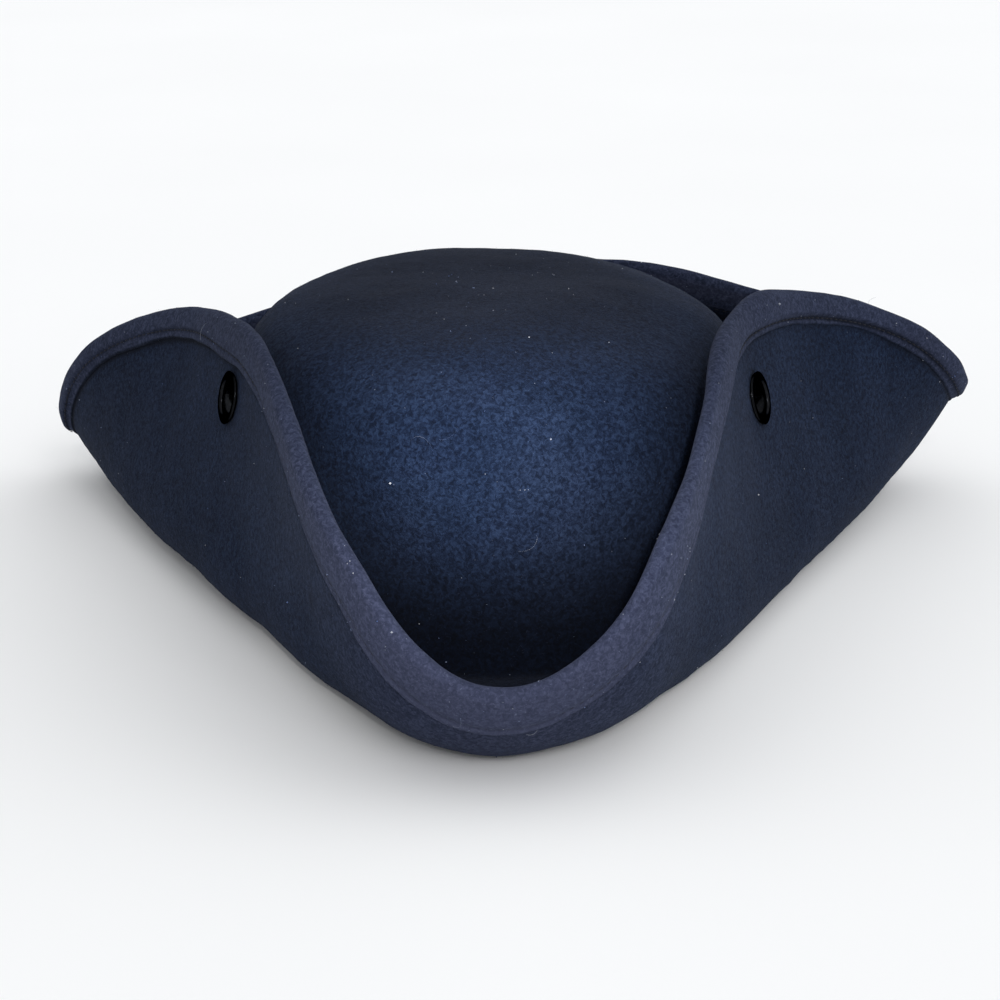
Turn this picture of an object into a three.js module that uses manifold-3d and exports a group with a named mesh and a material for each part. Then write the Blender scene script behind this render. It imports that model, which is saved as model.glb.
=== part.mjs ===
// Tricorn hat of felted wool: a round crown and one flat brim, turned up along three soft creases.
// The brim's edge is turned over to the outer side as a hem, and each side flap carries one eyelet.
// Millimetres and degrees, +Z up, front towards -Y. Right is +X, as seen from the front.
// The origin is the middle of the hat's bottom.
import * as THREE from 'three';
import { mergeVertices } from 'three/addons/utils/BufferGeometryUtils.js';
import Module from 'manifold-3d';

// Crown and head opening
const HEAD_BREADTH = 166;
const HEAD_LENGTH = 202;
const CROWN_HEIGHT = 95.6;
const CROWN_LEAN = -5.3;
const FELT = 2.8;
const BREAK_RADIUS = 6;
// The crown's section is a superellipse: its sideways powers at right and left, and its upward power
const CROWN_ROUND_RIGHT = 2.5;
const CROWN_ROUND_LEFT = 3.2;
const CROWN_SQUARE = 7.5;

// Flat brim, measured outwards from the crown
const BRIM_SIDE = 109;
const BRIM_END = 91;
// Where the cut brim reaches further out or less far: azimuth, reach as a share of BRIM_SIDE, and
// the degrees over which that fades
const EDGE_SHAPE = [
  { azimuth: 115, reach: 0.038, fade: 8 },
  { azimuth: -68, reach: -0.033, fade: 13 },
];

// Hem
const HEM_WIDTH = 12;
const HEM_FELT = 2.4;
// Where the hem is turned over narrower: azimuth, the share of HEM_WIDTH that it loses there, and
// the degrees over which that fades
const HEM_SHAPE = [
  { azimuth: 105, narrower: 0.43, fade: 38 },
  { azimuth: -105, narrower: 0.43, fade: 38 },
];

// Eyelets
const EYELET_HOLE = 12.4;
const EYELET_FLANGE = 18.4;
const EYELET_METAL = 0.7;
const EYELET_BEAD = 1.3;
const EYELET_CREST = 0.35;
const EYELET_AZIMUTH = 64;
const RIGHT_EYELET_FROM_EDGE = 27.8;
const LEFT_EYELET_FROM_EDGE = 21.5;
const CLEARANCE = 0.3;

// Mesh steps
const AROUND = 84;
const CORNER_FINENESS = 0.15;
const CROWN_STEPS = 7;
const LOWEST_LIFT = 10;
const BREAK_STEPS = 3;
const UPPER_STEPS = 11;
const UNDER_STEPS = 9;
const EDGE_STEPS = 4;
const EYELET_SIDES = 24;

// Each crease lies across the brim, square to its azimuth (0 is the front, 90 the +X side).
// clear: how far the crease's middle lies outside the crown, as a share of BRIM_SIDE.
// Rows run evenly along the crease, from left to right as seen from outside, looking at the crown.
// shift is further outward and soft is the bend's length, both as shares of BRIM_SIDE; angle is the bend.
const CREASES = [
  {
    azimuth: 66, clear: 0.126, rows: [
      { shift: -0.078, angle: 84, soft: 0.84 },
      { shift: -0.026, angle: 95, soft: 0.46 },
      { shift: -0.005, angle: 105, soft: 0.36 },
      { shift: 0.027, angle: 100, soft: 0.49 },
      { shift: -0.035, angle: 59, soft: 0.63 },
    ],
  },
  {
    azimuth: -65, clear: 0.132, rows: [
      { shift: -0.045, angle: 78, soft: 0.53 },
      { shift: 0.030, angle: 106, soft: 0.45 },
      { shift: 0.013, angle: 103, soft: 0.43 },
      { shift: -0.028, angle: 91, soft: 0.44 },
      { shift: -0.080, angle: 78, soft: 0.67 },
    ],
  },
  {
    azimuth: 179.5, clear: 0.045, rows: [
      { shift: -0.180, angle: 104, soft: 0.50 },
      { shift: 0.010, angle: 107, soft: 0.33 },
      { shift: 0.105, angle: 103, soft: 0.30 },
      { shift: 0.130, angle: 105, soft: 0.32 },
      { shift: -0.080, angle: 104, soft: 0.42 },
    ],
  },
  {
    azimuth: 0, clear: 0.605, rows: [
      { shift: 0, angle: 56, soft: 0.44 },
      { shift: 0, angle: 56, soft: 0.44 },
    ],
  },
];
// Half the length of a crease's table, as a share of the flat brim's outer radius
const CREASE_REACH = 0.845;
const BEND_STEPS = 12;

// Sizes worked out from the ones above
const rad = THREE.MathUtils.degToRad;
const outerX = HEAD_BREADTH / 2 + FELT;
const outerY = HEAD_LENGTH / 2 + FELT;
const brimRadius = (outerX + BRIM_SIDE + outerY + BRIM_END) / 2;
const halfCrease = CREASE_REACH * brimRadius;

function onEllipse(a, b, azimuth) {
  return new THREE.Vector2(a * Math.sin(azimuth), -b * Math.cos(azimuth));
}

// How far an ellipse reaches in the direction of an azimuth
function support(a, b, azimuth) {
  return Math.hypot(a * Math.sin(azimuth), b * Math.cos(azimuth));
}

// Smooth value of one column of a crease's rows at q = -1 to 1 along it
function along(rows, column, q) {
  const last = rows.length - 1;
  const place = (THREE.MathUtils.clamp(q, -1, 1) + 1) / 2 * last;
  const i = Math.min(Math.floor(place), last - 1);
  const u = place - i;
  const at = (k) => rows[THREE.MathUtils.clamp(k, 0, last)][column];
  const a = at(i - 1);
  const b = at(i);
  const c = at(i + 1);
  const d = at(i + 2);
  return b + 0.5 * u * (c - a + u * (2 * a - 5 * b + 4 * c - d + u * (3 * (b - c) + d - a)));
}

// Where felt that lies `past` the middle of a bend ends up: forward and up
function bend(past, angle, length) {
  const run = Math.max(past + length / 2, 0);
  const inside = Math.min(run, length);
  const step = inside / BEND_STEPS;
  let forward = Math.min(past, -length / 2);
  let up = 0;
  for (let k = 0; k < BEND_STEPS; k += 1) {
    const turn = angle * THREE.MathUtils.smoothstep((k + 0.5) * step, 0, length);
    forward += Math.cos(turn) * step;
    up += Math.sin(turn) * step;
  }
  const rest = run - inside;
  return { forward: forward + Math.cos(angle) * rest, up: up + Math.sin(angle) * rest };
}

// A point of the flat felt carried to its place in the turned-up hat
function folded(x, y, z) {
  const out = new THREE.Vector3(x, y, z);
  for (const crease of CREASES) {
    const azimuth = rad(crease.azimuth);
    const nx = Math.sin(azimuth);
    const ny = -Math.cos(azimuth);
    const q = (x * -ny + y * nx) / halfCrease;
    const middle = support(outerX, outerY, azimuth)
      + BRIM_SIDE * (crease.clear + along(crease.rows, 'shift', q));
    const past = x * nx + y * ny - middle;
    const angle = rad(along(crease.rows, 'angle', q));
    const placed = bend(past, angle, BRIM_SIDE * along(crease.rows, 'soft', q));
    out.x += nx * (placed.forward - past);
    out.y += ny * (placed.forward - past);
    out.z += placed.up;
  }
  return out;
}

// How strongly a row of one of the edge's two tables works at an azimuth, 1 at its own azimuth
function fading(row, azimuth) {
  const apart = Math.asin(Math.sin((azimuth - rad(row.azimuth)) / 2)) * 2;
  return Math.exp(-((apart / rad(row.fade)) ** 2));
}

// How much further out than its ellipse the brim is cut
function edgeReach(azimuth) {
  let reach = 0;
  for (const row of EDGE_SHAPE) {
    reach += BRIM_SIDE * row.reach * fading(row, azimuth);
  }
  return reach;
}

function hemWidth(azimuth) {
  let share = 1;
  for (const row of HEM_SHAPE) {
    share -= row.narrower * fading(row, azimuth);
  }
  return HEM_WIDTH * share;
}

// Middle of the felt on the brim: share 0 at the crown's break, 1 at the edge
function brimFlat(azimuth, share) {
  const reach = edgeReach(azimuth);
  const base = onEllipse(outerX + BREAK_RADIUS, outerY + BREAK_RADIUS, azimuth);
  const rim = onEllipse(outerX + BRIM_SIDE + reach, outerY + BRIM_END + reach, azimuth);
  return base.lerp(rim, share);
}

function brimMiddle(azimuth, share) {
  const flat = brimFlat(azimuth, share);
  return folded(flat.x, flat.y, 0);
}

function brimWidth(azimuth) {
  return brimFlat(azimuth, 0).distanceTo(brimFlat(azimuth, 1));
}

// Middle point, way to the edge, and way to the crown's side of the felt
function brimFrame(azimuth, share) {
  const step = 0.004;
  const point = brimMiddle(azimuth, share);
  const outward = brimMiddle(azimuth, share + step).sub(brimMiddle(azimuth, share - step)).normalize();
  const round = brimMiddle(azimuth + step, share).sub(brimMiddle(azimuth - step, share));
  const normal = round.cross(outward).normalize().negate();
  return { point, outward, normal };
}

function brimFace(azimuth, share, offset) {
  const { point, normal } = brimFrame(azimuth, share);
  return point.addScaledVector(normal, offset);
}

// Felt turned over at the edge: half circle from the upper face to the hem's outer face
function edgeRoll(azimuth, share) {
  const { point, outward, normal } = brimFrame(azimuth, 1);
  const radius = (FELT + HEM_FELT) / 2;
  const turn = Math.PI * (0.5 - share);
  return point
    .addScaledVector(normal, -HEM_FELT / 2 + radius * Math.sin(turn))
    .addScaledVector(outward, radius * Math.cos(turn));
}

// Crown wall, inset into the felt, at an angle of 0 at the bottom to 90 degrees at the top
function crownFace(azimuth, lift, inset) {
  const leftness = ((1 - Math.sin(azimuth)) / 2) ** 2;
  const roundness = THREE.MathUtils.lerp(CROWN_ROUND_RIGHT, CROWN_ROUND_LEFT, leftness);
  let low = 0;
  let high = 1.5;
  for (let k = 0; k < 40; k += 1) {
    const reach = (low + high) / 2;
    const sum = (reach * Math.cos(lift)) ** roundness + (reach * Math.sin(lift)) ** CROWN_SQUARE;
    if (sum < 1) {
      low = reach;
    } else {
      high = reach;
    }
  }
  const side = low * Math.cos(lift);
  const rise = low * Math.sin(lift);
  const plan = onEllipse((outerX - inset) * side, (outerY - inset) * side, azimuth);
  return folded(plan.x, plan.y, (CROWN_HEIGHT + FELT / 2 - inset) * rise)
    .add(new THREE.Vector3(CROWN_LEAN * rise ** 2, 0, 0));
}

// Hollow round break between crown and brim, on the upper face (grow 0) or the lower (grow FELT)
function breakFace(azimuth, share, grow) {
  const turn = share * Math.PI / 2;
  const radius = BREAK_RADIUS + grow;
  const out = BREAK_RADIUS - radius * Math.cos(turn);
  const plan = onEllipse(outerX + out, outerY + out, azimuth);
  return folded(plan.x, plan.y, FELT / 2 + BREAK_RADIUS - radius * Math.sin(turn));
}

// Rings of the felt's whole skin, from the outer top over the edge to the inner top
function feltRings() {
  const rings = [];
  const lift = (k) => THREE.MathUtils.lerp(Math.PI / 2, rad(LOWEST_LIFT), k / CROWN_STEPS);
  const hemShare = (azimuth, k) => 1 - k * hemWidth(azimuth) / brimWidth(azimuth);
  for (let k = 1; k <= CROWN_STEPS; k += 1) {
    rings.push((a) => crownFace(a, lift(k), 0));
  }
  for (let k = 0; k < BREAK_STEPS; k += 1) {
    rings.push((a) => breakFace(a, k / BREAK_STEPS, 0));
  }
  for (let k = 0; k <= UPPER_STEPS; k += 1) {
    rings.push((a) => brimFace(a, k / UPPER_STEPS, FELT / 2));
  }
  for (let k = 1; k < EDGE_STEPS; k += 1) {
    rings.push((a) => edgeRoll(a, k / EDGE_STEPS));
  }
  for (const k of [0, 0.5, 1]) {
    rings.push((a) => brimFace(a, hemShare(a, k), -FELT / 2 - HEM_FELT));
  }
  for (let k = UNDER_STEPS; k >= 0; k -= 1) {
    rings.push((a) => brimFace(a, hemShare(a, 1) * k / UNDER_STEPS, -FELT / 2));
  }
  for (let k = BREAK_STEPS - 1; k >= 0; k -= 1) {
    rings.push((a) => breakFace(a, k / BREAK_STEPS, FELT));
  }
  for (let k = CROWN_STEPS; k >= 1; k -= 1) {
    rings.push((a) => crownFace(a, lift(k), FELT));
  }
  return rings;
}

// Azimuths round the hat, closer together at the three corners
function azimuths() {
  const list = [];
  for (let k = 0; k < AROUND; k += 1) {
    const even = 2 * Math.PI * k / AROUND;
    list.push(even - CORNER_FINENESS * Math.sin(3 * even));
  }
  return list;
}

// Closed skin through rings of points, with a pole at each end, each square cut along its shorter way
function closedSkin(rings, stations, firstPole, lastPole) {
  const points = [firstPole, lastPole];
  const faces = [];
  for (const ring of rings) {
    for (const station of stations) {
      points.push(ring(station));
    }
  }
  const count = stations.length;
  const index = (r, k) => 2 + r * count + (k % count);
  const apart = (a, b) => points[a].distanceTo(points[b]);
  for (let k = 0; k < count; k += 1) {
    faces.push(0, index(0, k), index(0, k + 1));
    for (let r = 0; r < rings.length - 1; r += 1) {
      const [a, b, c, d] = [index(r, k), index(r + 1, k), index(r + 1, k + 1), index(r, k + 1)];
      if (apart(a, c) < apart(b, d)) {
        faces.push(a, b, c, a, c, d);
      } else {
        faces.push(a, b, d, b, c, d);
      }
    }
    faces.push(1, index(rings.length - 1, k + 1), index(rings.length - 1, k));
  }
  const geometry = new THREE.BufferGeometry().setFromPoints(points);
  geometry.setIndex(faces);
  return geometry;
}

function feltSkin() {
  const top = new THREE.Vector3(CROWN_LEAN, 0, CROWN_HEIGHT + FELT / 2);
  const innerTop = new THREE.Vector3(CROWN_LEAN, 0, CROWN_HEIGHT - FELT / 2);
  return closedSkin(feltRings(), azimuths(), top, innerTop);
}

// Profile of an eyelet about its own axis: radius, height over the felt's middle
function eyeletProfile() {
  const hole = EYELET_HOLE / 2;
  const barrel = hole + EYELET_METAL;
  const flange = EYELET_FLANGE / 2;
  const seat = FELT / 2 + CLEARANCE;
  const proud = FELT / 2 + EYELET_BEAD;
  const crest = THREE.MathUtils.lerp(barrel, flange, EYELET_CREST);
  const half = [
    [barrel, seat], [flange, seat], [flange, seat + EYELET_METAL], [crest + EYELET_METAL, proud],
    [crest - EYELET_METAL, proud], [hole, seat + EYELET_METAL],
  ];
  const lower = half.map(([r, z]) => [r, -z]).reverse();
  const loop = [...half, ...lower].map(([r, z]) => new THREE.Vector2(r, z));
  return [...loop, loop[0].clone()];
}

function eyeletGeometry() {
  const geometry = new THREE.LatheGeometry(eyeletProfile(), EYELET_SIDES);
  geometry.rotateX(Math.PI / 2);
  return geometry;
}

// Place of an eyelet on a side flap, its axis square to the felt
function eyeletMatrix(azimuth, fromEdge) {
  const share = 1 - fromEdge / brimWidth(azimuth);
  const { point, outward, normal } = brimFrame(azimuth, share);
  const round = new THREE.Vector3().crossVectors(outward, normal);
  return new THREE.Matrix4().makeBasis(round, outward, normal).setPosition(point);
}

// Solids for joining and cutting
const wasm = await Module();
wasm.setup();

function toSolid(geometry) {
  const bare = geometry.clone();
  bare.deleteAttribute('normal');
  bare.deleteAttribute('uv');
  const merged = mergeVertices(bare, 1e-4);
  return new wasm.Manifold(new wasm.Mesh({
    numProp: 3,
    vertProperties: new Float32Array(merged.attributes.position.array),
    triVerts: new Uint32Array(merged.index.array),
  }));
}

function toGeometry(solid) {
  const mesh = solid.getMesh();
  const geometry = new THREE.BufferGeometry();
  geometry.setAttribute('position', new THREE.BufferAttribute(mesh.vertProperties, 3));
  geometry.setIndex(new THREE.BufferAttribute(mesh.triVerts, 1));
  geometry.computeVertexNormals();
  return geometry;
}

// The plug that makes room for an eyelet in the felt: its hole, and a flat seat for each flange
function eyeletRoom(matrix) {
  const barrel = EYELET_HOLE / 2 + EYELET_METAL + CLEARANCE;
  const flange = EYELET_FLANGE / 2 + CLEARANCE;
  const seat = FELT / 2;
  const high = seat + HEM_FELT + EYELET_BEAD;
  const outline = [[0, -high], [flange, -high], [flange, -seat], [barrel, -seat]];
  const upper = outline.map(([r, z]) => [r, -z]).reverse();
  const points = [...outline, ...upper].map(([r, z]) => new THREE.Vector2(r, z));
  const plug = new THREE.LatheGeometry(points, EYELET_SIDES);
  plug.rotateX(Math.PI / 2);
  plug.applyMatrix4(matrix);
  return toSolid(plug);
}

// Materials
const felt = new THREE.MeshStandardMaterial({
  name: 'felt', color: 0x1b2130, roughness: 0.95, metalness: 0,
});
const lacquer = new THREE.MeshStandardMaterial({
  name: 'lacquered_metal', color: 0x101216, roughness: 0.28, metalness: 0.6,
});

const EYELETS = [
  { name: 'eyelet_right', azimuth: EYELET_AZIMUTH, fromEdge: RIGHT_EYELET_FROM_EDGE },
  { name: 'eyelet_left', azimuth: -EYELET_AZIMUTH, fromEdge: LEFT_EYELET_FROM_EDGE },
];

const hat = new THREE.Group();
let feltSolid = toSolid(feltSkin());
for (const { name, azimuth, fromEdge } of EYELETS) {
  const matrix = eyeletMatrix(rad(azimuth), fromEdge);
  feltSolid = feltSolid.subtract(eyeletRoom(matrix));
  const eyelet = new THREE.Mesh(eyeletGeometry(), lacquer);
  eyelet.name = name;
  eyelet.applyMatrix4(matrix);
  hat.add(eyelet);
}
const body = new THREE.Mesh(toGeometry(feltSolid), felt);
body.name = 'felt_body';
hat.add(body);

// Origin at the middle of the box round the hat, on its bottom
const box = new THREE.Box3().setFromObject(hat, true);
const middle = box.getCenter(new THREE.Vector3());
hat.position.set(-middle.x, -middle.y, -box.min.z);

export default hat;
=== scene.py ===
import math

import bpy
import numpy as np
from mathutils import Matrix, Vector


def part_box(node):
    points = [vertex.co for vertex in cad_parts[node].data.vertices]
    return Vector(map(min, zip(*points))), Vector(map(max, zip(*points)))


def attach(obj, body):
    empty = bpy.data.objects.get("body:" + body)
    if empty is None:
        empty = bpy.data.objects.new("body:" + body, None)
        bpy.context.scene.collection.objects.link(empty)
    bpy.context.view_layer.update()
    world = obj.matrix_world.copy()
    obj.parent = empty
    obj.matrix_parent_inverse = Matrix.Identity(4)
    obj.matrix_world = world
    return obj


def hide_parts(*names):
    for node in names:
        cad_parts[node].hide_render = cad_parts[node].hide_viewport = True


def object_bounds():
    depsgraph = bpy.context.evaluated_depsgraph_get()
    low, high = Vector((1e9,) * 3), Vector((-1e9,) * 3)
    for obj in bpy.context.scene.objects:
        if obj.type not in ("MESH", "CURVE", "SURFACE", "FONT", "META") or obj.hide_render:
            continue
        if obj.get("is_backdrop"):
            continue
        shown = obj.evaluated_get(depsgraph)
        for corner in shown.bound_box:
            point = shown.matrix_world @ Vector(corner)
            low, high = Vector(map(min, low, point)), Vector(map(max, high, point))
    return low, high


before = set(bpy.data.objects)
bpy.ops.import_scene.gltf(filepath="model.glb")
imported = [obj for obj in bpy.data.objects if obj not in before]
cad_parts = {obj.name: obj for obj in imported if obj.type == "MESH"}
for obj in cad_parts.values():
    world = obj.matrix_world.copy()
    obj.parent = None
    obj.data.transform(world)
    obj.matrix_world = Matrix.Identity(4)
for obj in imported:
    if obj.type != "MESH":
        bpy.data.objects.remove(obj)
cad_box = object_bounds()

# Tricorn hat of blue-black wool felt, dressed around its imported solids.
# Metres, +Z up, front towards -Y. Right is +X, as seen from the front.
# The felt's fine skin is worked out from the same creases as the solid that it replaces.

# Crown and head opening
HEAD_BREADTH = 0.166
HEAD_LENGTH = 0.202
CROWN_HEIGHT = 0.0956
CROWN_LEAN = -0.0053
CROWN_ROUND_RIGHT = 2.5
CROWN_ROUND_LEFT = 3.2
CROWN_SQUARE = 7.5
FELT = 0.0028
BREAK_RADIUS = 0.006

# Flat brim, measured outwards from the crown
BRIM_SIDE = 0.109
BRIM_END = 0.091
# Where the cut brim reaches further out: azimuth, share of BRIM_SIDE, degrees over which that fades
EDGE_SHAPE = [(115, 0.038, 8), (-68, -0.033, 13)]

# Hem: the brim's edge turned over to the outer side and sewn down
HEM_WIDTH = 0.012
HEM_FELT = 0.0024
# Where the hem is narrower: azimuth, share of HEM_WIDTH lost there, degrees over which that fades
HEM_SHAPE = [(105, 0.43, 38), (-105, 0.43, 38)]
HEM_PUFF = 0.0003
HEM_THINNING = 0.0007
CUT_EDGE_RADIUS = 0.0009
STITCH_FROM_CUT = 0.0029
GROOVE_WIDTH = 0.00070
GROOVE_DEPTH = 0.00036
INNER_GROOVE_DEPTH = 0.00040
RIDGE_HEIGHT = 0.00012
# The stitches draw in less along the front
FRONT_GROOVE = 0.35
FRONT_FADE = 48
# Painted shade in the stitches' groove, beside that of 1 in the painted shadow under the cut edge
GROOVE_SHADE = 0.5
# Where the turned-over felt thins further, at the corners and on the right flap: azimuth, depth, degrees
# over which that fades
THINNER_HEM = [(116, 0.0011, 17), (-117, 0.0011, 17), (82, 0.0009, 22)]
# On the right flap the stitches' painted shade is darker than that under the cut edge, and they lie nearer to
# it
FIRM_SEAM_AZIMUTH = 80
FIRM_SEAM_FADE = 26
FIRM_SEAM_SHADE = 0.45
FIRM_CUT_SHADE = 0.35
FIRM_SEAM_NEARER = 0.36
STITCH_LENGTH = 0.0022
STITCH_PITCH = 0.0030
THREAD_RADIUS = 0.00018

# Eyelets
EYELET_HOLE = 0.0124
EYELET_FLANGE = 0.0184
EYELET_METAL = 0.0007
EYELET_BEAD = 0.0013
EYELET_CREST = 0.35
EYELET_AZIMUTH = 64
RIGHT_EYELET_FROM_EDGE = 0.0278
LEFT_EYELET_FROM_EDGE = 0.0215
CLEARANCE = 0.0003

# Creases: azimuth, share of BRIM_SIDE outside the crown, and rows of (shift, angle, soft) from left
# to right as seen from outside. Shift and soft are shares of BRIM_SIDE, the angle is in degrees.
CREASES = [
    (66, 0.126, [(-0.078, 84, 0.84), (-0.026, 95, 0.46), (-0.005, 105, 0.36), (0.027, 100, 0.49),
                 (-0.035, 59, 0.63)]),
    (-65, 0.132, [(-0.045, 78, 0.53), (0.030, 106, 0.45), (0.013, 103, 0.43), (-0.028, 91, 0.44),
                  (-0.080, 78, 0.67)]),
    (179.5, 0.045, [(-0.180, 104, 0.50), (0.010, 107, 0.33), (0.105, 103, 0.30), (0.130, 105, 0.32),
                    (-0.080, 104, 0.42)]),
    (0, 0.605, [(0, 56, 0.44), (0, 56, 0.44)]),
]
CREASE_REACH = 0.845
BEND_STEPS = 16

OUTER_X = HEAD_BREADTH / 2 + FELT
OUTER_Y = HEAD_LENGTH / 2 + FELT
HALF_CREASE = CREASE_REACH * (OUTER_X + BRIM_SIDE + OUTER_Y + BRIM_END) / 2

# Photo's camera, worked out from the hat's outline in a frame of 1000 pixels
PHOTO_PIXELS = 1000
FOCAL_PIXELS = 2504
CAMERA_DISTANCE = 0.850
CAMERA_ELEVATION = 18.9
CAMERA_ROLL = -0.35
CAMERA_TARGET = (-0.0014, 0.0, 0.0206)
SENSOR = 36.0


def smoothstep(x):
    x = np.clip(x, 0, 1)
    return x * x * (3 - 2 * x)


def bump_at(x, middle, width):
    """A soft bump of height 1 at a middle."""
    return np.exp(-((x - middle) / width) ** 2)


def unit(v):
    return v / np.maximum(np.linalg.norm(v, axis=-1, keepdims=True), 1e-12)


def on_ellipse(a, b, azimuth):
    return np.stack([a * np.sin(azimuth), -b * np.cos(azimuth)], -1)


def along(rows, column, q):
    """Smooth value of one column of a crease's rows at q = -1 to 1 along it."""
    values = np.array([row[column] for row in rows], float)
    last = len(values) - 1
    place = (np.clip(q, -1, 1) + 1) / 2 * last
    i = np.minimum(place.astype(int), last - 1)
    u = place - i
    a, b, c, d = (values[np.clip(i + k, 0, last)] for k in (-1, 0, 1, 2))
    return b + 0.5 * u * (c - a + u * (2 * a - 5 * b + 4 * c - d + u * (3 * (b - c) + d - a)))


def bend(past, angle, length):
    """Where felt that lies past the middle of a bend ends up: forward and up."""
    run = np.maximum(past + length / 2, 0)
    inside = np.minimum(run, length)
    step = inside / BEND_STEPS
    forward = np.minimum(past, -length / 2)
    up = np.zeros_like(past)
    for k in range(BEND_STEPS):
        turn = angle * smoothstep((k + 0.5) * step / length)
        forward = forward + np.cos(turn) * step
        up = up + np.sin(turn) * step
    rest = run - inside
    return forward + np.cos(angle) * rest, up + np.sin(angle) * rest


def folded(x, y, z):
    """Points of the flat felt carried to their places in the turned-up hat."""
    out = np.stack(np.broadcast_arrays(x, y, z), -1).astype(float)
    for azimuth, clear, rows in CREASES:
        a = math.radians(azimuth)
        nx, ny = math.sin(a), -math.cos(a)
        q = (y * nx - x * ny) / HALF_CREASE
        middle = math.hypot(OUTER_X * nx, OUTER_Y * ny) + BRIM_SIDE * (clear + along(rows, 0, q))
        past = x * nx + y * ny - middle
        forward, up = bend(past, np.radians(along(rows, 1, q)), BRIM_SIDE * along(rows, 2, q))
        out[..., 0] += nx * (forward - past)
        out[..., 1] += ny * (forward - past)
        out[..., 2] += up
    return out


def fading(azimuth, middle, fade):
    """How strongly something works at an azimuth: 1 at its own azimuth, both of these in degrees."""
    apart = np.arcsin(np.sin((azimuth - math.radians(middle)) / 2)) * 2
    return np.exp(-(apart / math.radians(fade)) ** 2)


def edge_reach(azimuth):
    """How much further out than its ellipse the brim is cut."""
    return sum(BRIM_SIDE * share * fading(azimuth, middle, fade) for middle, share, fade in EDGE_SHAPE)


def hem_width(azimuth):
    return HEM_WIDTH * (1 - sum(share * fading(azimuth, middle, fade) for middle, share, fade in HEM_SHAPE))


def stitch_line(azimuth):
    """How far the stitches lie from the edge."""
    firm = fading(azimuth, FIRM_SEAM_AZIMUTH, FIRM_SEAM_FADE)
    return hem_width(azimuth) - STITCH_FROM_CUT * (1 - FIRM_SEAM_NEARER * firm)


def hem_thinning(azimuth):
    """How much thinner the turned-over felt is at its cut edge."""
    return HEM_THINNING + sum(depth * fading(azimuth, middle, fade) for middle, depth, fade in THINNER_HEM)


def groove_share(azimuth):
    """How far the stitches draw in: full at the sides and the back, little along the front."""
    return 1 - (1 - FRONT_GROOVE) * fading(azimuth, 0, FRONT_FADE)


def brim_flat(azimuth, share):
    reach = edge_reach(azimuth)
    base = on_ellipse(OUTER_X + BREAK_RADIUS, OUTER_Y + BREAK_RADIUS, azimuth)
    rim = on_ellipse(OUTER_X + BRIM_SIDE + reach, OUTER_Y + BRIM_END + reach, azimuth)
    return base + (rim - base) * np.asarray(share)[..., None]


def brim_middle(azimuth, share):
    flat = brim_flat(azimuth, share)
    return folded(flat[..., 0], flat[..., 1], 0.0)


def brim_width(azimuth):
    return np.linalg.norm(brim_flat(azimuth, 1.0) - brim_flat(azimuth, 0.0), axis=-1)


def brim_frame(azimuth, share):
    """Middle of the felt, way to the edge, and way to the crown's side of the felt."""
    step = 0.004
    azimuth, share = np.broadcast_arrays(azimuth, share)
    point = brim_middle(azimuth, share)
    outward = unit(brim_middle(azimuth, share + step) - brim_middle(azimuth, share - step))
    around = brim_middle(azimuth + step, share) - brim_middle(azimuth - step, share)
    return point, outward, -unit(np.cross(around, outward))


def crown_face(azimuth, lift, inset):
    """Crown wall, inset into the felt, at an angle of 0 at the bottom to 90 degrees at the top."""
    azimuth, lift = np.broadcast_arrays(azimuth, lift)
    leftness = ((1 - np.sin(azimuth)) / 2) ** 2
    roundness = CROWN_ROUND_RIGHT + (CROWN_ROUND_LEFT - CROWN_ROUND_RIGHT) * leftness
    low = np.zeros(lift.shape)
    high = np.full(lift.shape, 1.5)
    side, rise = np.abs(np.cos(lift)), np.abs(np.sin(lift))
    for _ in range(40):
        reach = (low + high) / 2
        inside = (reach * side) ** roundness + (reach * rise) ** CROWN_SQUARE < 1
        low = np.where(inside, reach, low)
        high = np.where(inside, high, reach)
    plan = on_ellipse(OUTER_X - inset, OUTER_Y - inset, azimuth) * (low * side)[..., None]
    out = folded(plan[..., 0], plan[..., 1], (CROWN_HEIGHT + FELT / 2 - inset) * low * rise)
    out[..., 0] += CROWN_LEAN * (low * rise) ** 2
    return out


def break_face(azimuth, share, grow):
    """Hollow round break between crown and brim, upper face (grow 0) or lower face (grow FELT)."""
    turn = share * math.pi / 2
    radius = BREAK_RADIUS + grow
    out = BREAK_RADIUS - radius * math.cos(turn)
    plan = on_ellipse(OUTER_X + out, OUTER_Y + out, azimuth)
    return folded(plan[..., 0], plan[..., 1], FELT / 2 + BREAK_RADIUS - radius * math.sin(turn))


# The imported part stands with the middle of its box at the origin: the eyelets tell how far it moved

def eyelet_frame(side):
    azimuth = np.array(math.radians(EYELET_AZIMUTH) * side)
    from_edge = RIGHT_EYELET_FROM_EDGE if side > 0 else LEFT_EYELET_FROM_EDGE
    return brim_frame(azimuth, 1 - from_edge / brim_width(azimuth))


def part_shift():
    moves = []
    for side, node in ((1, "eyelet_right"), (-1, "eyelet_left")):
        low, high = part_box(node)
        moves.append((np.array(low) + np.array(high)) / 2 - eyelet_frame(side)[0])
    return np.mean(moves, axis=0)


SHIFT = part_shift()


# Waves of random direction: a smooth unevenness that is the same each run

def waves(points, wavelength, count, seed):
    draw = np.random.default_rng(seed)
    ways = unit(draw.normal(size=(count, 3))) * draw.uniform(0.7, 1.4, (count, 1)) * 2 * math.pi / wavelength
    phases = draw.uniform(0, 2 * math.pi, count)
    out = np.zeros(points.shape[:-1])
    for way, phase in zip(ways, phases):
        out += np.sin(points @ way + phase)
    return out / math.sqrt(count / 2)


def unevenness(points, layers):
    """Sum of waves, from rows of (height, wavelength, number of waves, seed)."""
    return sum(height * waves(points, *layer) for height, *layer in layers)


# Materials

# Scales of the felt's noises, per metre
MATTED_SCALE = 1500
NAP_SCALE = 740
PATCH_SCALE = 42
CLOUD_SCALE = 11
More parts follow.
